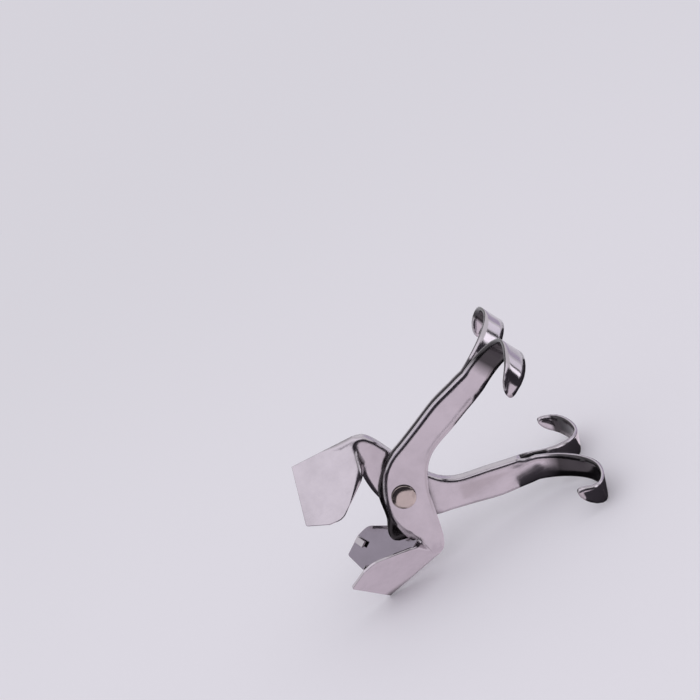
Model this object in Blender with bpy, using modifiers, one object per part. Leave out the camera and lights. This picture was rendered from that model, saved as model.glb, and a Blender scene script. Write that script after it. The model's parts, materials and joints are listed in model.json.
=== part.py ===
"""Lever tool for champagne corks: two folded levers that cross side by side on one rivet."""
import math

import bmesh
import bpy
from mathutils import Matrix, Vector
from mathutils.geometry import interpolate_bezier

# Driving sizes, in metres
LEVER_REACH = 0.100          # pivot to the end of the finger horns, along the tool
SHEET = 0.0015               # thickness of the pressed sheet
CHANNEL_WIDTH = 0.0072       # over both walls of one lever
SPINE_BEND = 0.0026          # outer radius where a wall turns into the spine
FOLD_BEND = 0.0020           # soft folds beside the jaw's web
EDGE_ROUND = 0.00015         # tumbled edges of the sheet
SEAM_WELD = 0.00003          # the two halves of a lever join where they meet
RIDGE_LENGTH = LEVER_REACH * 0.382   # keel of the jaw, where its two wings meet
RIDGE_FALL = math.radians(7.6)     # keel against the tool's long axis
WING_SLOPE = math.radians(36.7)    # wing against the lever's middle plane
WING_CORNER = 0.0013         # radius of the wing's toe corner
LOW_HEEL_CORNER = 0.0007     # and of its two blunt corners
HEEL_CORNER = 0.0080
HEM_RADIUS = 0.0019          # rolled hem and hooked teeth, outer radius
HEM_TURN = math.radians(115)
TOOTH_TURN = math.radians(160)
HEEL_TOOTH_LENGTH = 0.0060   # straight end of the hooked tooth at the heel
TOE_TOOTH_LENGTH = 0.0025    # and of the one on the end edge
TOOTH_WIDTH = RIDGE_LENGTH * 0.1
TAB_RELIEF = 0.0003          # slot beside a bent tab
TOE_TOOTH_SHARE = 0.38       # place of each tooth on its edge, counted from the toe
HEEL_TOOTH_SHARE = 0.66
HEM_END_SHARE = 0.92
HORN_OUT = 0.0255            # how far a horn bows out sideways, wall to crest
HORN_TIP = 0.0480            # how far its tip stands from the wall
HORN_REACH = 0.0300          # wall's end to the crest, along the sweep
HORN_RETURN = 0.0175         # crest back to the tip's end
HORN_NARROWING = 0.0018      # width lost between the wall and the crest
TIP_STRAIGHT = 0.0080        # flat stretch at the tip
TIP_OUTER_ROUND = (0.0108, 0.0240)   # blunt side of the tip: across, then along
TIP_INNER_ROUND = (0.0022, 0.0035)
SHARP_ANGLE = math.radians(40)       # edges stay crisp in shading above this turn
HORN_AIM = math.radians(27.0)        # direction of the horn's sweep against the long axis

RIVET_SHANK_RADIUS = 0.0030
RIVET_HEAD_RADIUS = 0.0070
RIVET_FLAT_RADIUS = 0.0046   # flat middle of the head, inside its round shoulder
RIVET_HEAD_HEIGHT = 0.0019
RIVET_RIM = 0.0006           # upright part of the head's rim
RIVET_WELD = 0.00001         # poles of the turned rivet
PIVOT_PLAY = 0.0003          # clearance between levers, heads and shank

# Points of the wall, as shares of the reach: along the tool, then across it
OPEN_EDGE_SHARES = (
    (0.668, 0.406), (0.625, 0.399), (0.575, 0.388), (0.440, 0.360), (0.300, 0.311), (0.170, 0.267),
    (0.070, 0.234), (-0.018, 0.174),
)
PLAIN_END_SHARES = (
    (-0.080, 0.085), (-0.120, -0.005), (-0.134, -0.085), (-0.134, -0.150), (-0.127, -0.213), (-0.112, -0.256),
)
STOP_END_SHARES = (
    (-0.096, 0.105), (-0.128, 0.050), (-0.150, -0.030), (-0.166, -0.080), (-0.190, -0.120),
    (-0.212, -0.165), (-0.212, -0.210), (-0.186, -0.236),
)
SPINE_SHARES = (
    (-0.022, -0.410), (0.002, -0.400), (0.028, -0.368), (0.054, -0.310), (0.084, -0.215),
    (0.112, -0.130), (0.137, -0.059), (0.166, -0.002), (0.214, 0.068), (0.270, 0.115), (0.335, 0.144),
    (0.445, 0.175), (0.560, 0.212), (0.650, 0.239),
)
HORN_INNER_SHARE = (0.722, 0.268)
RIDGE_START_SHARE = (-0.046, -0.432)
CROTCH_SHARE = (-0.078, -0.268)

# Corners of a wing in its own plane, as shares of the keel: along it, then up from it
TOE_SHARE = (1.155, 0.896)
LOW_HEEL_SHARE = (0.830, 1.030)
HIGH_HEEL_SHARE = (0.620, 1.042)
ROOT_SHARE = (0.109, 0.635)


def smooth_line(shares, scale, steps):
    """Curve through hand-set points, drawn as cubic segments with averaged tangents."""
    knots = [Vector((a * scale, b * scale, 0)) for a, b in shares]
    tangents = []
    for i, knot in enumerate(knots):
        before = knots[max(i - 1, 0)]
        after = knots[min(i + 1, len(knots) - 1)]
        tangents.append((after - before).normalized())
    line = [knots[0]]
    for i in range(len(knots) - 1):
        pull = (knots[i + 1] - knots[i]).length / 3
        line += interpolate_bezier(knots[i], knots[i] + tangents[i] * pull,
                                   knots[i + 1] - tangents[i + 1] * pull, knots[i + 1], steps + 1)[1:]
    return line


def round_corner(before, corner, after, radius, steps):
    """Arc that replaces a corner between two straight edges."""
    into = (before - corner).normalized()
    out = (after - corner).normalized()
    half = into.angle(out) / 2
    cut = radius / math.tan(half)
    centre = corner + (into + out).normalized() * (radius / math.sin(half))
    start = corner + into * cut - centre
    end = corner + out * cut - centre
    turn = start.angle(end)
    points = []
    for i in range(steps + 1):
        share = i / steps
        points.append(centre + (start * math.sin((1 - share) * turn) + end * math.sin(share * turn)) / math.sin(turn))
    return points


def horn_path():
    """Side view of a horn: distance along its sweep and out from the wall, with the length run."""
    zero = Vector((0, 0, 0))
    crest = Vector((HORN_REACH, HORN_OUT, 0))
    turn_end = Vector((HORN_REACH - HORN_RETURN + TIP_STRAIGHT, HORN_TIP, 0))
    tip = turn_end - Vector((TIP_STRAIGHT, 0, 0))
    pull = 0.55
    rise = turn_end.y - crest.y
    back = crest.x - turn_end.x
    line = interpolate_bezier(zero, Vector((crest.x * pull, 0, 0)),
                              crest - Vector((0, crest.y * pull, 0)), crest, 25)
    line += interpolate_bezier(crest, crest + Vector((0, rise * pull, 0)),
                               turn_end + Vector((back * pull, 0, 0)), turn_end, 21)[1:]
    line.append(tip)
    return line


def path_point(line, length):
    """Point at a run length on a polyline."""
    for start, end in zip(line[:-1], line[1:]):
        step = (end - start).length
        if length <= step:
            return start.lerp(end, length / step)
        length -= step
    return line[-1]


def corner_inset(length, total, size):
    """How far a strip's edge stands in at this length, to round the strip's end corner."""
    across, along = size
    run = (length - total) / along + 1
    if run <= 0:
        return 0
    return across * (1 - math.sqrt(max(1 - run * run, 0)))


def sweep_edge(bm, first, second, shifts):
    """Carry an edge through a row of shifts; each shift gives both new points."""
    last = (first, second)
    for one, other in shifts:
        pair = (bm.verts.new(one), bm.verts.new(other))
        bm.faces.new((last[0], last[1], pair[1], pair[0]))
        last = pair


def curl(bm, edge, outward, inward, turn, straight):
    """Roll a free edge over towards the inside of the jaw."""
    first, second = edge
    steps = 5
    shifts = []
    for i in range(1, steps + 1):
        angle = turn * i / steps
        run = outward * (HEM_RADIUS * math.sin(angle)) + inward * (HEM_RADIUS * (1 - math.cos(angle)))
        shifts.append((first.co + run, second.co + run))
    if straight:
        run += (outward * math.cos(turn) + inward * math.sin(turn)) * straight
        shifts.append((first.co + run, second.co + run))
    sweep_edge(bm, first, second, shifts)


def tab_notch(start, end, outward):
    """Outline round the root of a tab: set back by its bend, with a relief slot at each side."""
    back = outward * HEM_RADIUS
    gap = (end - start).normalized() * TAB_RELIEF
    return [start - gap, start - gap - back, start - back, end - back, end + gap - back, end + gap]


def half_lever(bm, side, end_shares, hooked):
    """Outer surface of one half of a lever, as an open sheet without thickness."""
    def at(along, across, out):
        return Vector((along, -side * out, across))

    wall_side = CHANNEL_WIDTH / 2
    open_edge = smooth_line(OPEN_EDGE_SHARES + end_shares, LEVER_REACH, 3)
    spine = smooth_line(SPINE_SHARES, LEVER_REACH, 3)
    inner = Vector(HORN_INNER_SHARE) * LEVER_REACH
    crotch = Vector(CROTCH_SHARE) * LEVER_REACH
    ridge = Vector(RIDGE_START_SHARE) * LEVER_REACH

    # Plane of the wing: along its keel, up its slope, and into the jaw
    keel = at(-math.cos(RIDGE_FALL), -math.sin(RIDGE_FALL), 0)
    level = at(-math.sin(RIDGE_FALL), math.cos(RIDGE_FALL), 0)
    side_way = at(0, 0, 1)
    rise = level * math.cos(WING_SLOPE) + side_way * math.sin(WING_SLOPE)
    inward = level * math.sin(WING_SLOPE) - side_way * math.cos(WING_SLOPE)
    start = at(ridge.x, ridge.y, 0)

    def on_wing(share):
        return start + keel * (share[0] * RIDGE_LENGTH) + rise * (share[1] * RIDGE_LENGTH)

    keel_end = on_wing((1, 0))
    toe = on_wing(TOE_SHARE)
    low_heel = on_wing(LOW_HEEL_SHARE)
    high_heel = on_wing(HIGH_HEEL_SHARE)
    root = on_wing(ROOT_SHARE)
    fold_share = wall_side / abs((root - start).dot(side_way))

    # Flat wall
    open_verts = [bm.verts.new(at(p.x, p.y, wall_side)) for p in open_edge]
    crotch_vert = bm.verts.new(at(crotch.x, crotch.y, wall_side))
    fold_vert = bm.verts.new(start.lerp(root, fold_share))
    spine_verts = [bm.verts.new(at(p.x, p.y, wall_side)) for p in spine]
    inner_vert = bm.verts.new(at(inner.x, inner.y, wall_side))
    bm.faces.new(open_verts + [crotch_vert, fold_vert] + spine_verts + [inner_vert])

    # Spine: the wall's closed side carried to the middle plane
    ridge_vert = bm.verts.new(start)
    middle_verts = [ridge_vert] + [bm.verts.new(at(p.x, p.y, 0)) for p in spine[1:]]
    for i in range(len(spine_verts) - 1):
        bm.faces.new((spine_verts[i], spine_verts[i + 1], middle_verts[i + 1], middle_verts[i]))

    # Wing of the jaw; its hem and teeth grow from tabs in its free edge
    toe_line = (keel_end - toe).normalized()
    toe_out = (keel - toe_line * keel.dot(toe_line)).normalized()
    heel_line = (low_heel - toe).normalized()
    heel_out = (rise - heel_line * rise.dot(heel_line)).normalized()
    hem_line = (root - high_heel).normalized()
    hem_out = (rise - hem_line * rise.dot(hem_line)).normalized()
    heel_arc = round_corner(low_heel, high_heel, root, HEEL_CORNER, 3)
    toe_tab = []
    heel_tab = []
    hem_tab = []
    if hooked:
        near_toe = toe + toe_line * ((keel_end - toe).length * TOE_TOOTH_SHARE)
        near_heel = toe + heel_line * ((low_heel - toe).length * HEEL_TOOTH_SHARE)
        toe_tab = tab_notch(near_toe + toe_line * TOOTH_WIDTH, near_toe, toe_out)
        heel_tab = tab_notch(near_heel, near_heel + heel_line * TOOTH_WIDTH, heel_out)
        hem_tab = tab_notch(heel_arc[-1] + hem_line * TAB_RELIEF, high_heel.lerp(root, HEM_END_SHARE), hem_out)
    stretches = [[keel_end], toe_tab, round_corner(keel_end, toe, low_heel, WING_CORNER, 3),
                 heel_tab, round_corner(toe, low_heel, high_heel, LOW_HEEL_CORNER, 2),
                 heel_arc[:-1], hem_tab or heel_arc[-1:], [root]]
    stretch_verts = [[bm.verts.new(p) for p in stretch] for stretch in stretches]
    wing_verts = [vert for stretch in stretch_verts for vert in stretch]
    root_vert = wing_verts[-1]
    bm.faces.new([ridge_vert] + wing_verts + [fold_vert])
    if hooked:
        curl(bm, stretch_verts[1][2:4], toe_out, inward, TOOTH_TURN, TOE_TOOTH_LENGTH)
        curl(bm, stretch_verts[3][2:4], heel_out, inward, TOOTH_TURN, HEEL_TOOTH_LENGTH)
        curl(bm, stretch_verts[6][2:4], hem_out, inward, HEM_TURN, 0)

    # Web between the wall and the wing, and the end of the spine
    bm.faces.new((crotch_vert, fold_vert, root_vert))
    bm.faces.new((spine_verts[0], ridge_vert, fold_vert))

    # Finger horn: the wall's end edge swept out and back
    path = horn_path()
    total = sum((b - a).length for a, b in zip(path[:-1], path[1:]))
    along = TIP_OUTER_ROUND[1]
    stations = [(total - along) * i / 24 for i in range(1, 25)]
    stations += [total - along * (1 - math.sin(math.radians(10 * i))) for i in range(1, 9)]
    stations += [total - TIP_INNER_ROUND[1] * 0.2, total]
    stations.sort()
    aim = at(math.cos(HORN_AIM), math.sin(HORN_AIM), 0)
    out = side_way
    across = (inner_vert.co - open_verts[0].co).normalized()
    shifts = []
    for length in stations:
        point = path_point(path, length)
        shift = aim * point.x + out * point.y
        neck = HORN_NARROWING * min(length / (total * 0.4), 1)
        first = open_verts[0].co + shift + across * (corner_inset(length, total, TIP_OUTER_ROUND) + neck)
        second = inner_vert.co + shift - across * corner_inset(length, total, TIP_INNER_ROUND)
        shifts.append((first, second))
    sweep_edge(bm, open_verts[0], inner_vert, shifts)
    return spine_verts, (fold_vert, root_vert)


def lever_sheet(far_end_shares, hooked_side):
    """Whole outer surface of a lever: the far wall's open edge ends as given, one wing has hooked teeth."""
    bm = bmesh.new()
    bends = []
    folds = []
    for side, end_shares in ((1, PLAIN_END_SHARES), (-1, far_end_shares)):
        spine_verts, wing_fold = half_lever(bm, side, end_shares, side == hooked_side)
        bends += [bm.edges.get(pair) for pair in zip(spine_verts[:-1], spine_verts[1:])]
        folds.append(bm.edges.get(wing_fold))
    bmesh.ops.remove_doubles(bm, verts=bm.verts, dist=SEAM_WELD)
    bends = [e for e in bends if e.is_valid]
    folds = [e for e in folds if e.is_valid]
    bmesh.ops.recalc_face_normals(bm, faces=bm.faces)
    outer = max(bm.faces, key=lambda f: f.calc_area())
    if outer.normal.y * outer.calc_center_median().y < 0:
        bmesh.ops.reverse_faces(bm, faces=bm.faces)
    bmesh.ops.bevel(bm, geom=folds, offset=FOLD_BEND, offset_type='OFFSET', segments=3, profile=0.5,
                    affect='EDGES', clamp_overlap=True)
    bends = [e for e in bends if e.is_valid]
    bmesh.ops.bevel(bm, geom=bends, offset=SPINE_BEND, offset_type='OFFSET', segments=4, profile=0.5,
                    affect='EDGES', clamp_overlap=True)
    mesh = bpy.data.meshes.new("lever")
    bm.to_mesh(mesh)
    bm.free()
    return mesh


def remove_all():
    for obj in list(bpy.data.objects):
        bpy.data.objects.remove(obj)


def collection(name):
    group = bpy.data.collections.new(name)
    bpy.context.scene.collection.children.link(group)
    return group


def metal(name, colour, roughness):
    material = bpy.data.materials.new(name)
    material.use_nodes = True
    shader = material.node_tree.nodes["Principled BSDF"]
    shader.inputs["Base Color"].default_value = (*colour, 1)
    shader.inputs["Roughness"].default_value = roughness
    shader.inputs["Metallic"].default_value = 1
    return material


def bake(obj):
    """Apply all modifiers of an object."""
    graph = bpy.context.evaluated_depsgraph_get()
    mesh = bpy.data.meshes.new_from_object(obj.evaluated_get(graph))
    old = obj.data
    obj.modifiers.clear()
    obj.data = mesh
    bpy.data.meshes.remove(old)


def shade(obj):
    """Smooth shading that stays crisp at the real edges."""
    obj.data.shade_smooth()
    obj.data.set_sharp_from_angle(angle=SHARP_ANGLE)


def lever(name, far_end_shares, hooked_side, parts, cutters):
    """One pressed lever with its origin on the pivot, in its own middle plane."""
    obj = bpy.data.objects.new(name, lever_sheet(far_end_shares, hooked_side))
    parts.objects.link(obj)
    solid = obj.modifiers.new("sheet", 'SOLIDIFY')
    solid.thickness = SHEET
    solid.offset = -1
    solid.use_even_offset = True
    solid.use_quality_normals = True
    round_edges = obj.modifiers.new("tumbled edges", 'BEVEL')
    round_edges.width = EDGE_ROUND
    round_edges.segments = 1
    round_edges.limit_method = 'ANGLE'
    round_edges.angle_limit = math.radians(50)
    bake(obj)
    drill(obj, cutters)
    shade(obj)
    return obj


def cylinder(name, radius, depth, steps):
    """Cylinder along the pivot's axis, as a mesh."""
    bm = bmesh.new()
    bmesh.ops.create_cone(bm, cap_ends=True, segments=steps, radius1=radius, radius2=radius, depth=depth,
                          matrix=Matrix.Rotation(math.pi / 2, 4, 'X'))
    mesh = bpy.data.meshes.new(name)
    bm.to_mesh(mesh)
    bm.free()
    return mesh


def drill(obj, cutters):
    """Round hole for the rivet through both walls."""
    tool = bpy.data.objects.new("rivet_hole", cylinder("rivet_hole", RIVET_SHANK_RADIUS + PIVOT_PLAY,
                                                       CHANNEL_WIDTH * 2, 32))
    cutters.objects.link(tool)
    tool.hide_render = True
    tool.display_type = 'WIRE'
    cut = obj.modifiers.new("rivet hole", 'BOOLEAN')
    cut.operation = 'DIFFERENCE'
    cut.solver = 'EXACT'
    cut.object = tool
    bake(obj)


def rivet(parts):
    """Headed rivet turned about the pivot's axis, both heads alike."""
    face = CHANNEL_WIDTH + PIVOT_PLAY * 1.5
    shoulder = RIVET_HEAD_RADIUS - RIVET_FLAT_RADIUS
    steps = 6
    profile = [(0, face + RIVET_HEAD_HEIGHT)]
    for i in range(steps + 1):
        angle = math.pi / 2 * i / steps
        profile.append((RIVET_FLAT_RADIUS + shoulder * math.sin(angle),
                        face + RIVET_RIM + (RIVET_HEAD_HEIGHT - RIVET_RIM) * math.cos(angle)))
    profile.append((RIVET_HEAD_RADIUS, face))
    profile.append((RIVET_SHANK_RADIUS, face))
    profile += [(r, -h) for r, h in reversed(profile)]
    mesh = bpy.data.meshes.new("pivot_rivet")
    mesh.from_pydata([(r, 0, h) for r, h in profile], [(i, i + 1) for i in range(len(profile) - 1)], [])
    obj = bpy.data.objects.new("pivot_rivet", mesh)
    parts.objects.link(obj)
    screw = obj.modifiers.new("turned", 'SCREW')
    screw.axis = 'Z'
    screw.steps = 40
    screw.render_steps = 40
    screw.use_merge_vertices = True
    screw.merge_threshold = RIVET_WELD
    bake(obj)
    obj.data.transform(Matrix.Rotation(math.pi / 2, 4, 'X'))
    shade(obj)
    return obj


def turned_points(objects, turn):
    """Vertices of these objects after a turn about the pivot."""
    return [Matrix.Rotation(turn, 4, 'Y') @ (obj.matrix_world @ v.co) for obj in objects for v in obj.data.vertices]


def stand(levers, others):
    """Turn the tool about its pivot until jaw keel and finger horns rest on the ground, and centre it."""
    turn = 0
    for _ in range(8):
        first, second = [min(turned_points([obj], turn), key=lambda p: p.z) for obj in levers]
        turn += (second.z - first.z) / (second.x - first.x)
    points = turned_points(levers, turn)
    centre = [(min(p[axis] for p in points) + max(p[axis] for p in points)) / 2 for axis in (0, 1)]
    place = Matrix.Translation((-centre[0], -centre[1], -min(p.z for p in points)))
    for obj in levers + others:
        obj.matrix_world = place @ Matrix.Rotation(turn, 4, 'Y') @ obj.matrix_world


def main():
    remove_all()
    parts = collection("champagne_opener")
    cutters = collection("cutters")
    near = lever("upper_handle_lever", STOP_END_SHARES, -1, parts, cutters)
    far = lever("lower_handle_lever", PLAIN_END_SHARES, 1, parts, cutters)
    pin = rivet(parts)
    offset = (CHANNEL_WIDTH + PIVOT_PLAY) / 2
    near.matrix_world = Matrix.Translation((0, -offset, 0))
    far.matrix_world = Matrix.Translation((0, offset, 0)) @ Matrix.Rotation(math.pi, 4, 'X')
    stand([near, far], [pin])
    for obj, colour in ((near, (0.72, 0.70, 0.72)), (far, (0.70, 0.69, 0.72)), (pin, (0.66, 0.60, 0.55))):
        obj.data.materials.append(metal(obj.name, colour, 0.14))


main()
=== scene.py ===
"""Studio picture of a chromed champagne opener: two folded levers on one rivet."""
import json
import math

import bpy
from mathutils import Euler, Matrix, Vector

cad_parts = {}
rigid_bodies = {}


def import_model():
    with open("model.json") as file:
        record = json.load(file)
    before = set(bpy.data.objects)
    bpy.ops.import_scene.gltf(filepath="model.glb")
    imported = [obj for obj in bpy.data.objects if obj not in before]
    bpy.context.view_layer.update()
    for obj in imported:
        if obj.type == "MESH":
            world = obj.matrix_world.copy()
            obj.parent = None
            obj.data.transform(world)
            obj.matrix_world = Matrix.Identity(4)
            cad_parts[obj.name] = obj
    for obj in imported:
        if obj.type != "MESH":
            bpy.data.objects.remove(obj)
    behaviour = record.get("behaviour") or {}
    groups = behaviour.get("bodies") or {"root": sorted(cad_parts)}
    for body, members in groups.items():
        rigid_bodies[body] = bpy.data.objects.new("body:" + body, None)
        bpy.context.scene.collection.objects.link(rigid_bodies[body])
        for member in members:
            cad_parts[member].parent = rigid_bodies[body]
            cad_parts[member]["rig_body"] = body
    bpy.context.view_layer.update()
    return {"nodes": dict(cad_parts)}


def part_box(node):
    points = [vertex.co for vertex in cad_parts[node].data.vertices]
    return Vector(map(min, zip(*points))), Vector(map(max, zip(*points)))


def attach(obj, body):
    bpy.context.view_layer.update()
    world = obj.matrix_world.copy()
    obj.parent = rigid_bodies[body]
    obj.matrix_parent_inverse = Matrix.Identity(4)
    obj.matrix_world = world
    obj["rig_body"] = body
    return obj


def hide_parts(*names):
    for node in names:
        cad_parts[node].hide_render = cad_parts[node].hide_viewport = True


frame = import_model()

MM = 0.001

# Colours of the plating, of the painted dark edge reflection and of the painted corner shade, and how much
# brightness a hazed patch and a painted-shade hollow keep
CHROME = (0.600, 0.560, 0.590)
WARM_CHROME = (0.590, 0.515, 0.470)
EDGE_SHADE_COLOUR = (0.20, 0.185, 0.19)
CORNER_SHADE_COLOUR = (0.055, 0.050, 0.052)
HAZED_SHARE = 0.90
HOLLOW_SHADE_SHARE = 0.12

# Hairline scratches: turn in radians, then how closely the pattern repeats along and across them
HAIRLINES = ((0.35, 9.0, 900.0), (-0.9, 14.0, 1400.0), (1.5, 22.0, 1100.0))
HAIRLINE_DEPTH = 0.010 * MM
RIPPLE_DEPTH = 0.12 * MM

# Roughness that hazed patches, hairlines and crevices add
HAZED_ROUGHNESS = 0.07
HAIRLINE_ROUGHNESS = 0.06
CREVICE_ROUGHNESS = 0.20

# A wide bend takes many samples before light lies along it in clean bands
BEND_SAMPLES = 64
EDGE_SAMPLES = 6
CREVICE_SAMPLES = 6
CREVICE_REACH = 6.5 * MM

# Each mask grows from none to full while its source goes through a span. SOFT_BENDS and ON_HORNS are
# distances ahead of the rivet, IN_CHANNEL is a distance from the lever's middle plane, and FACING_INWARDS
# is that distance times how squarely the surface turns away from the plane.
HAIRLINE = (0.62, 0.74)
HAZED_PATCH = (0.38, 0.66)
TURNING_EDGE = (0.985, 0.86)
EDGE_SHADE_PATCHES = (0.35, 0.60)
LEAST_EDGE_SHADE = 0.35
DEEP_CORNER = (0.62, 0.28)
SOFT_BENDS = (-25.4 * MM, -15.4 * MM)
ON_HORNS = (64.6 * MM, 74.6 * MM)
IN_CHANNEL = (3.3 * MM, 2.9 * MM)
FACING_INWARDS = (-0.9 * MM, -1.6 * MM)
FACING_RIVET = (-0.12, -0.34)

MERGE_DISTANCE = 0.005 * MM
SMOOTH_ANGLE = math.radians(35)

RIVET_HEAD_HEIGHT = 1.9 * MM
RIVET_SHANK_RADIUS = 3.0 * MM
RIVET_FLAT_RADIUS = 3.3 * MM
RIVET_CORNER_RADIUS = 0.45 * MM
RIVET_RIM_CHAMFER = 0.12 * MM
RIVET_STEEPEST = math.radians(27)
RIVET_DOME_STEPS = 16
RIVET_CORNER_STEPS = 9
RIVET_FACETS = 96

FLOOR = (0.860, 0.850, 0.880)
FLOOR_RADIUS = 8.0
FLOOR_ROUGHNESS = 0.8
FLOOR_CORNERS = 96
ROOM = (0.780, 0.768, 0.808)

SOFTBOX_SIZE = (1.60, 0.90)
SOFTBOX_PLACE = (-0.13, -0.45, 1.05)
SOFTBOX_AIM = (0.0, 0.0, 0.05)
SOFTBOX_WATTS = 1.15
SOFTBOX_COLOUR = (0.93, 0.84, 1.0)

BLACK_CARD = (0.050, 0.046, 0.054)
BLACK_CARD_ROUGHNESS = 0.9
GLOWING_CARDS = {
    "grey card": (0.44, 0.415, 0.485),
    "mauve card": (0.54, 0.485, 0.62),
    "floor bounce": (0.83, 0.755, 0.84),
    "handle bounce": (0.67, 0.60, 0.66),
    "jaw bounce": (0.72, 0.645, 0.73),
    "pale card": (1.02, 0.98, 1.10),
    "bright card": (1.60, 1.55, 1.68),
}

# Standing and tilted cards: name, width, height, place, point that they face, finish
STANDING_CARDS = (
    ("camera_side_card", 2.60, 1.10, (0.05, -1.05, 0.55), (0.05, 0.0, 0.55), "black card"),
    ("left_front_card", 0.80, 0.60, (-1.15, -0.60, 0.30), (0.0, 0.0, 0.30), "black card"),
    ("high_left_card", 0.24, 0.22, (-0.33, -0.36, 0.42), (-0.06, 0.01, 0.024), "grey card"),
    ("back_mauve_card", 0.80, 0.34, (0.56, 0.86, 0.17), (0.0, 0.0, 0.17), "mauve card"),
    ("right_pale_card", 0.32, 0.26, (0.78, 0.24, 0.13), (0.0, 0.0, 0.13), "pale card"),
    ("right_slot_card", 0.10, 0.26, (0.82, 0.00, 0.13), (0.0, 0.0, 0.13), "black card"),
    ("right_bright_card", 0.26, 0.26, (0.78, -0.20, 0.13), (0.0, 0.0, 0.13), "bright card"),
    ("right_front_card", 0.62, 0.30, (0.54, -0.60, 0.15), (0.0, 0.0, 0.15), "black card"),
)

# Cards lying face up just over the floor: name, width, depth, place, finish
FLOOR_CARDS = (
    ("front_bounce_card", 0.22, 0.40, (0.0, -0.14, 0.6 * MM), "floor bounce"),
    ("handle_bounce_card", 0.055, 0.055, (0.0225, -0.0775, 0.9 * MM), "handle bounce"),
    ("under_bend_card", 0.070, 0.060, (0.087, -0.070, 1.1 * MM), "black card"),
    ("jaw_bounce_card", 0.075, 0.045, (-0.0575, -0.0125, 1.0 * MM), "jaw bounce"),
    ("under_handle_card", 0.092, 0.070, (0.076, -0.005, 1.2 * MM), "black card"),
    ("right_floor_card", 0.40, 0.60, (0.31, -0.10, 0.6 * MM), "black card"),
    ("left_floor_card", 0.60, 0.60, (-0.41, -0.30, 0.6 * MM), "black card"),
    ("front_floor_card", 1.40, 0.66, (0.0, -0.68, 0.8 * MM), "black card"),
)

# A camera looks straight down until it is tipped up, turned round the vertical and rolled about its own axis
CAMERA_PLACE = (0.07773, -0.61184, 0.31575)
CAMERA_TIP = math.radians(73.807)
CAMERA_HEADING = math.radians(7.516)
CAMERA_ROLL = math.radians(-34.948)
CAMERA_LENS = 60.84
CAMERA_SENSOR = 36
CAMERA_NEAREST = 10 * MM


# Places in the frame

def corners(node_name):
    return [Vector(corner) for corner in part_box(node_name)]


def middle(node_name):
    low, high = corners(node_name)
    return (low + high) / 2


# Helpers for shader trees

def feed(tree, value, socket):
    """Give an input its value: another node's output, a colour, or plain numbers."""
    if isinstance(value, bpy.types.NodeSocket):
        tree.links.new(value, socket)
    elif socket.type == 'RGBA':
        socket.default_value = (*value, 1.0)
    else:
        socket.default_value = value


def add_node(tree, kind, inputs=None, **settings):
    """Node with its settings, and inputs given by name or by position."""
    node = tree.nodes.new(kind)
    for name, value in settings.items():
        setattr(node, name, value)
    for key, value in (inputs or {}).items():
        feed(tree, value, node.inputs[key])
    return node


def calculate(tree, operation, *values):
    return add_node(tree, "ShaderNodeMath", dict(enumerate(values)), operation=operation).outputs[0]


def mask(tree, source, span, least=0.0):
    """Value that grows from least to 1 while its source goes through a span."""
    start, end = span
    remap = add_node(tree, "ShaderNodeMapRange", {
        "Value": source, "From Min": start, "From Max": end, "To Min": least, "To Max": 1.0})
    return remap.outputs["Result"]


def noise(tree, place, scale, detail, roughness=0.5):
    texture = add_node(tree, "ShaderNodeTexNoise", {
        "Vector": place, "Scale": scale, "Detail": detail, "Roughness": roughness})
    return texture.outputs["Fac"]


def split(tree, vector):
    return add_node(tree, "ShaderNodeSeparateXYZ", {"Vector": vector}).outputs


def mix_colour(tree, factor, first, second):
    mix = add_node(tree, "ShaderNodeMix", {"Factor": factor, "A": first, "B": second}, data_type='RGBA')
    return mix.outputs["Result"]


def darker(colour, share):
    return tuple(part * share for part in colour)


# Worn polish of a plated pressing, with painted shade and painted dark reflections

def hairline_mask(tree, place):
    """Fine scratches in three directions."""
    scratches = None
    for turn, along, across in HAIRLINES:
        mapping = add_node(tree, "ShaderNodeMapping", {
            "Vector": place, "Rotation": (0.0, turn, turn / 3), "Scale": (along, across, across)})
        streaks = noise(tree, mapping.outputs["Vector"], scale=1.6, detail=2.0)
        line = mask(tree, streaks, HAIRLINE)
        scratches = line if scratches is None else calculate(tree, 'MAXIMUM', scratches, line)
    return scratches


def bent_normal(tree, from_rivet, edge_round, bend_round):
    """Normal with soft bends on the channel and horns, and crisp edges on the jaw."""
    soft = calculate(tree, 'MULTIPLY', mask(tree, from_rivet, SOFT_BENDS), bend_round)
    radius = calculate(tree, 'ADD', edge_round, soft)
    return add_node(tree, "ShaderNodeBevel", {"Radius": radius}, samples=BEND_SAMPLES).outputs["Normal"]


def edge_shade_mask(tree, edge_round, smudges):
    """Painted dark reflection along the edges, found where a small rounding turns the surface, and stronger in
    some places than in others.
    """
    crisp = add_node(tree, "ShaderNodeBevel", {"Radius": edge_round}, samples=EDGE_SAMPLES)
    surface = add_node(tree, "ShaderNodeNewGeometry")
    agreement = add_node(tree, "ShaderNodeVectorMath", {
        0: crisp.outputs["Normal"], 1: surface.outputs["Normal"]}, operation='DOT_PRODUCT')
    edge = mask(tree, agreement.outputs["Value"], TURNING_EDGE)
    return calculate(tree, 'MULTIPLY', edge, mask(tree, smudges, EDGE_SHADE_PATCHES, LEAST_EDGE_SHADE))


def hollow_shade_mask(tree, from_rivet, from_middle, facing):
    """Painted shade inside the channel and on the finger side of the horns, standing in for their dark
    reflections.
    """
    outward = calculate(tree, 'MULTIPLY', from_middle, facing["Y"])
    in_channel = mask(tree, calculate(tree, 'ABSOLUTE', from_middle), IN_CHANNEL)
    channel_inside = calculate(tree, 'MULTIPLY', mask(tree, outward, FACING_INWARDS), in_channel)
    facing_rivet = mask(tree, facing["X"], FACING_RIVET)
    finger_side = calculate(tree, 'MULTIPLY', facing_rivet, mask(tree, from_rivet, ON_HORNS))
    return calculate(tree, 'MAXIMUM', channel_inside, finger_side)


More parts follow.
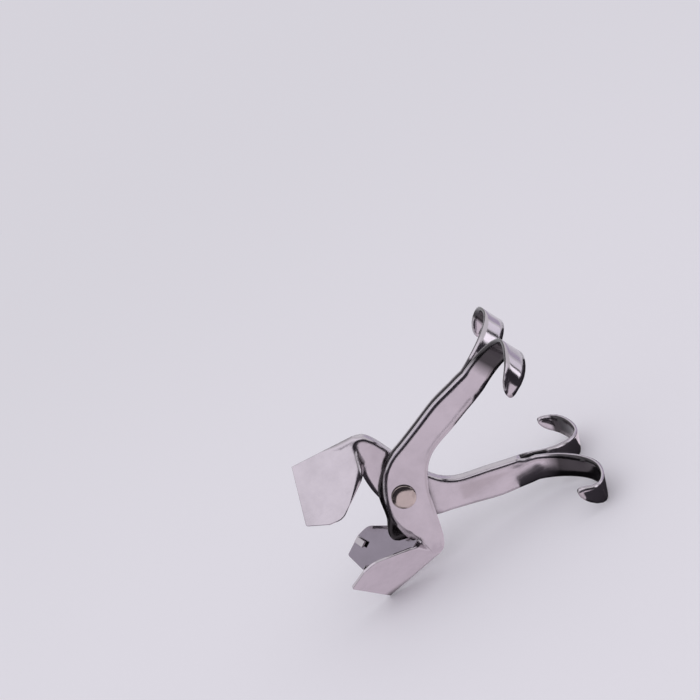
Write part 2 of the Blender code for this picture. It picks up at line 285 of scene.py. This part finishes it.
def crevice_mask(tree):
    """Corners where little light reaches."""
    shade = add_node(tree, "ShaderNodeAmbientOcclusion", {"Distance": CREVICE_REACH}, samples=CREVICE_SAMPLES)
    return mask(tree, shade.outputs["AO"], DEEP_CORNER)


def polish_group():
    """Hairline scratches, finger haze, pressed ripple, rounded bends, rougher corners, and masks for painted
    dark reflections on edges and painted shade in hollows and corners.
    """
    tree = bpy.data.node_groups.new("worn polish and painted shade", "ShaderNodeTree")
    for name in ("Scratch Depth", "Haze", "Ripple", "Edge Round", "Bend Round", "Middle Plane"):
        tree.interface.new_socket(name=name, in_out='INPUT', socket_type='NodeSocketFloat')
    for name in ("Roughness", "Edge Shade", "Crevice", "Hollow Shade", "Patchiness"):
        tree.interface.new_socket(name=name, in_out='OUTPUT', socket_type='NodeSocketFloat')
    tree.interface.new_socket(name="Normal", in_out='OUTPUT', socket_type='NodeSocketVector')
    given = add_node(tree, "NodeGroupInput").outputs
    coordinates = add_node(tree, "ShaderNodeTexCoord")
    place = coordinates.outputs["Object"]
    facing = split(tree, coordinates.outputs["Normal"])
    from_rivet = calculate(tree, 'SUBTRACT', split(tree, place)["X"], middle("pivot_rivet").x)
    from_middle = calculate(tree, 'SUBTRACT', split(tree, place)["Y"], given["Middle Plane"])

    scratches = hairline_mask(tree, place)
    smudges = noise(tree, place, scale=55.0, detail=5.0, roughness=0.62)
    patch = mask(tree, smudges, HAZED_PATCH)
    crevice = crevice_mask(tree)
    ripple = noise(tree, place, scale=95.0, detail=1.5)
    waves = add_node(tree, "ShaderNodeBump", {
        "Height": ripple, "Strength": given["Ripple"], "Distance": RIPPLE_DEPTH,
        "Normal": bent_normal(tree, from_rivet, given["Edge Round"], given["Bend Round"])})
    hairlines = add_node(tree, "ShaderNodeBump", {
        "Height": scratches, "Strength": given["Scratch Depth"], "Distance": HAIRLINE_DEPTH,
        "Normal": waves.outputs["Normal"]}, invert=True)

    roughness = given["Haze"]
    for area, added in ((patch, HAZED_ROUGHNESS), (scratches, HAIRLINE_ROUGHNESS),
                        (crevice, CREVICE_ROUGHNESS)):
        roughness = calculate(tree, 'ADD', roughness, calculate(tree, 'MULTIPLY', area, added))

    add_node(tree, "NodeGroupOutput", {
        "Roughness": roughness,
        "Edge Shade": edge_shade_mask(tree, given["Edge Round"], smudges),
        "Crevice": crevice,
        "Hollow Shade": hollow_shade_mask(tree, from_rivet, from_middle, facing),
        "Patchiness": patch,
        "Normal": hairlines.outputs["Normal"]})
    return tree


def plated_steel(name, polish, colour, values):
    """Plated metal, with painted shade in its hollows and corners and a painted dark reflection along its
    edges.
    """
    material = bpy.data.materials.new(name)
    material.use_nodes = True
    tree = material.node_tree
    finish = add_node(tree, "ShaderNodeGroup", node_tree=polish)
    for socket, value in values.items():
        finish.inputs[socket].default_value = value
    base = mix_colour(tree, finish.outputs["Patchiness"], colour, darker(colour, HAZED_SHARE))
    # Painted shade in the hollows
    base = mix_colour(tree, finish.outputs["Hollow Shade"], base, darker(colour, HOLLOW_SHADE_SHARE))
    # Painted dark reflection along the edges
    base = mix_colour(tree, finish.outputs["Edge Shade"], base, EDGE_SHADE_COLOUR)
    # Painted shade in the corners, from ambient occlusion
    base = mix_colour(tree, finish.outputs["Crevice"], base, CORNER_SHADE_COLOUR)
    shader = tree.nodes["Principled BSDF"]
    shader.inputs["Metallic"].default_value = 1.0
    for socket, value in (("Base Color", base), ("Roughness", finish.outputs["Roughness"]),
                          ("Normal", finish.outputs["Normal"])):
        feed(tree, value, shader.inputs[socket])
    return material


def upper_lever_chrome(polish):
    return plated_steel("upper lever chrome", polish, CHROME, {
        "Scratch Depth": 0.30, "Haze": 0.085, "Ripple": 0.25,
        "Edge Round": 0.35 * MM, "Bend Round": 4.4 * MM, "Middle Plane": middle("upper_handle_lever").y})


def lower_lever_chrome(polish):
    return plated_steel("lower lever chrome", polish, CHROME, {
        "Scratch Depth": 0.35, "Haze": 0.095, "Ripple": 0.25,
        "Edge Round": 0.35 * MM, "Bend Round": 4.6 * MM, "Middle Plane": middle("lower_handle_lever").y})


def rivet_chrome(polish):
    return plated_steel("rivet chrome", polish, WARM_CHROME, {
        "Scratch Depth": 0.25, "Haze": 0.12, "Ripple": 0.15, "Edge Round": 0.15 * MM})


# Pieces

def new_piece(name, mesh):
    """Object for a mesh, as the one selected and active object, with all of its mesh selected."""
    obj = bpy.data.objects.new(name, mesh)
    bpy.context.scene.collection.objects.link(obj)
    bpy.ops.object.select_all(action='DESELECT')
    obj.select_set(True)
    bpy.context.view_layer.objects.active = obj
    bpy.ops.object.mode_set(mode='EDIT')
    bpy.ops.mesh.select_all(action='SELECT')
    return obj


def dress(obj, node_name, material):
    """Material of a finished piece, and the node that it stands for and moves with."""
    obj.data.materials.clear()
    obj.data.materials.append(material)
    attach(obj, frame["nodes"][node_name]["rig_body"])
    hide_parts(node_name)


def plated_lever(node_name, name, material):
    """Lever with one joined skin, so that light runs smoothly round its folds and horns."""
    obj = new_piece(name, frame["nodes"][node_name].data.copy())
    bpy.ops.mesh.remove_doubles(threshold=MERGE_DISTANCE)
    bpy.ops.object.mode_set(mode='OBJECT')
    bpy.ops.mesh.customdata_custom_splitnormals_clear()
    bpy.ops.object.shade_smooth_by_angle(angle=SMOOTH_ANGLE)
    weights = obj.modifiers.new("flat walls stay flat", 'WEIGHTED_NORMAL')
    weights.keep_sharp = True
    bpy.ops.object.modifier_apply(modifier=weights.name)
    dress(obj, node_name, material)


def rivet_section(head_radius, half_length):
    """Radius and height along the rivet's side: flat, shallow dome, round corner and shank, on both ends."""
    dome = head_radius - RIVET_FLAT_RADIUS - RIVET_CORNER_RADIUS * (1 - math.sin(RIVET_STEEPEST))
    drop = dome * math.tan(RIVET_STEEPEST) / 2
    section = [(0, half_length)]
    for step in range(RIVET_DOME_STEPS + 1):
        share = step / RIVET_DOME_STEPS
        section.append((RIVET_FLAT_RADIUS + dome * share, half_length - drop * share ** 2))
    corner_radius, corner_height = section[-1]
    for step in range(1, RIVET_CORNER_STEPS + 1):
        angle = RIVET_STEEPEST + (math.pi / 2 - RIVET_STEEPEST) * step / RIVET_CORNER_STEPS
        out = math.sin(angle) - math.sin(RIVET_STEEPEST)
        down = math.cos(RIVET_STEEPEST) - math.cos(angle)
        section.append((corner_radius + RIVET_CORNER_RADIUS * out, corner_height - RIVET_CORNER_RADIUS * down))
    under_head = half_length - RIVET_HEAD_HEIGHT
    section += [(head_radius, under_head + RIVET_RIM_CHAMFER), (head_radius - RIVET_RIM_CHAMFER, under_head),
                (RIVET_SHANK_RADIUS, under_head)]
    return section + [(radius, -height) for radius, height in reversed(section)]


def turned_rivet(node_name, name, material):
    """Rivet turned from its section, with finer heads than the plain solid."""
    low, high = corners(node_name)
    centre = middle(node_name)
    section = rivet_section((high.x - low.x) / 2, (high.y - low.y) / 2)
    mesh = bpy.data.meshes.new(name)
    mesh.from_pydata([(centre.x + radius, centre.y + height, centre.z) for radius, height in section],
                     [(i, i + 1) for i in range(len(section) - 1)], [])
    obj = new_piece(name, mesh)
    bpy.ops.mesh.spin(steps=RIVET_FACETS, angle=math.tau, center=centre, axis=(0, 1, 0))
    bpy.ops.mesh.select_all(action='SELECT')
    bpy.ops.mesh.remove_doubles(threshold=MERGE_DISTANCE)
    bpy.ops.mesh.normals_make_consistent(inside=False)
    bpy.ops.object.mode_set(mode='OBJECT')
    bpy.ops.object.shade_smooth_by_angle(angle=SMOOTH_ANGLE)
    dress(obj, node_name, material)


# Studio

def plain_matt(name, colour, roughness):
    material = bpy.data.materials.new(name)
    material.use_nodes = True
    shader = material.node_tree.nodes["Principled BSDF"]
    shader.inputs["Base Color"].default_value = (*colour, 1.0)
    shader.inputs["Roughness"].default_value = roughness
    shader.inputs["Specular IOR Level"].default_value = 0.0
    return material


def glowing(name, colour):
    material = plain_matt(name, (0.0, 0.0, 0.0), 1.0)
    shader = material.node_tree.nodes["Principled BSDF"]
    shader.inputs["Emission Color"].default_value = (*colour, 1.0)
    shader.inputs["Emission Strength"].default_value = 1.0
    return material


def stage_card(name, width, height, place, aim, material):
    """Flat card facing a point, seen only in the metal's reflections."""
    bpy.ops.mesh.primitive_plane_add(size=1, location=(0, 0, 0))
    card = bpy.context.active_object
    card.name = name
    card.scale = (width, height, 1)
    card.location = place
    card.rotation_mode = 'QUATERNION'
    card.rotation_quaternion = (Vector(aim) - Vector(place)).to_track_quat('Z', 'Y')
    card.data.materials.append(material)
    card.visible_camera = False
    card.visible_shadow = False
    card.visible_diffuse = False


def reflected_cards():
    finishes = {name: glowing(name, colour) for name, colour in GLOWING_CARDS.items()}
    finishes["black card"] = plain_matt("black card", BLACK_CARD, BLACK_CARD_ROUGHNESS)
    for name, width, height, place, aim, finish in STANDING_CARDS:
        stage_card(name, width, height, place, aim, finishes[finish])
    straight_up = Vector((0, 0, 1))
    for name, width, depth, place, finish in FLOOR_CARDS:
        stage_card(name, width, depth, place, Vector(place) + straight_up, finishes[finish])


def pale_floor():
    bpy.ops.mesh.primitive_circle_add(vertices=FLOOR_CORNERS, radius=FLOOR_RADIUS, fill_type='NGON',
                                      location=(0, 0, 0))
    floor = bpy.context.active_object
    floor.name = "studio_floor"
    floor.data.materials.append(plain_matt("pale floor", FLOOR, FLOOR_ROUGHNESS))


def soft_room():
    """Even light from all round, which the camera sees in the lit floor's own colour."""
    world = bpy.data.worlds.new("soft room")
    bpy.context.scene.world = world
    world.use_nodes = True
    tree = world.node_tree
    rays = add_node(tree, "ShaderNodeLightPath")
    lit_floor = tuple(part * light for part, light in zip(FLOOR, ROOM))
    seen = mix_colour(tree, rays.outputs["Is Camera Ray"], ROOM, lit_floor)
    feed(tree, seen, tree.nodes["Background"].inputs["Color"])


def top_softbox():
    lamp = bpy.data.lights.new("top softbox", 'AREA')
    lamp.shape = 'RECTANGLE'
    lamp.size, lamp.size_y = SOFTBOX_SIZE
    lamp.energy = SOFTBOX_WATTS
    lamp.color = SOFTBOX_COLOUR
    obj = bpy.data.objects.new("top softbox", lamp)
    obj.location = SOFTBOX_PLACE
    obj.rotation_mode = 'QUATERNION'
    obj.rotation_quaternion = (Vector(SOFTBOX_AIM) - Vector(SOFTBOX_PLACE)).to_track_quat('-Z', 'Y')
    bpy.context.scene.collection.objects.link(obj)


def photo_camera():
    lens = bpy.data.cameras.new("photo camera")
    lens.lens = CAMERA_LENS
    lens.sensor_width = CAMERA_SENSOR
    lens.clip_start = CAMERA_NEAREST
    camera = bpy.data.objects.new("photo camera", lens)
    aimed = Euler((CAMERA_TIP, 0, CAMERA_HEADING)).to_matrix().to_4x4()
    camera.matrix_world = Matrix.Translation(CAMERA_PLACE) @ aimed @ Matrix.Rotation(CAMERA_ROLL, 4, 'Z')
    bpy.context.scene.collection.objects.link(camera)
    bpy.context.scene.camera = camera


polish_and_painted_shade = polish_group()
plated_lever("upper_handle_lever", "upper_lever_plated", upper_lever_chrome(polish_and_painted_shade))
plated_lever("lower_handle_lever", "lower_lever_plated", lower_lever_chrome(polish_and_painted_shade))
turned_rivet("pivot_rivet", "pivot_rivet_turned", rivet_chrome(polish_and_painted_shade))

pale_floor()
soft_room()
top_softbox()
reflected_cards()
photo_camera()
bpy.context.scene.view_settings.view_transform = 'Standard'
